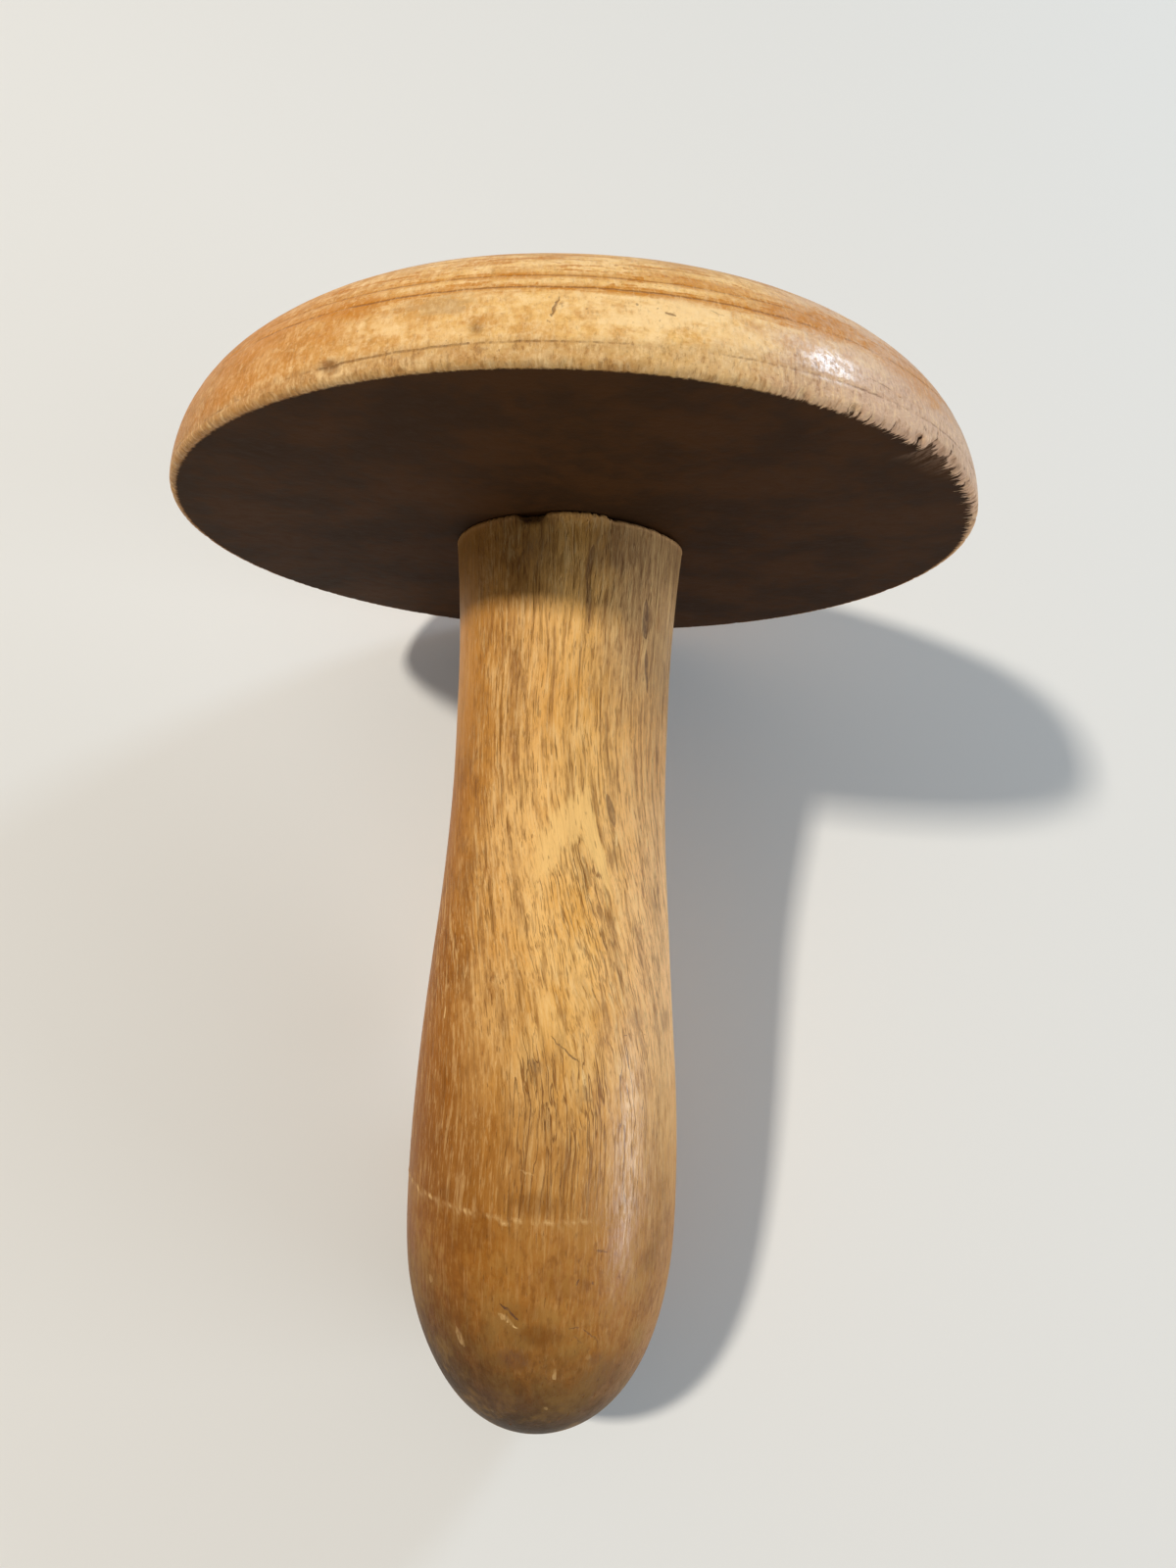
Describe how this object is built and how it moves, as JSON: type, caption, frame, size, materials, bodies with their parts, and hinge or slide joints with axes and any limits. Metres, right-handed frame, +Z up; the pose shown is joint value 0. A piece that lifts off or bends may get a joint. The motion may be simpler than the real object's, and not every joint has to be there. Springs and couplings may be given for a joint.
{
  "type": "darning mushroom",
  "caption": "Turned wooden darning mushroom lying at rest: a domed round cap with a flat underside, glued by a hidden tenon to a waisted handle with a rounded bulb end.",
  "frame": {"origin": "centre of the bounding box, on the surface that the mushroom lies on", "axes": "+Y is the way the cap points seen from above, +Z is up; the turned axis leans up towards the cap by 18.1 degrees, because the mushroom rests on the cap's underside edge and on the handle's bulb"},
  "size_m": [0.074, 0.1028, 0.0708],
  "materials": {
    "cap_wood": "worn wax on flat-sawn wood",
    "handle_wood": "worn wax on open-pored wood",
    "glue": "set glue"
  },
  "bodies": {
    "root": {"cap": "cap_wood", "handle": "handle_wood", "glue_film": "glue"}
  },
  "joints": []
}
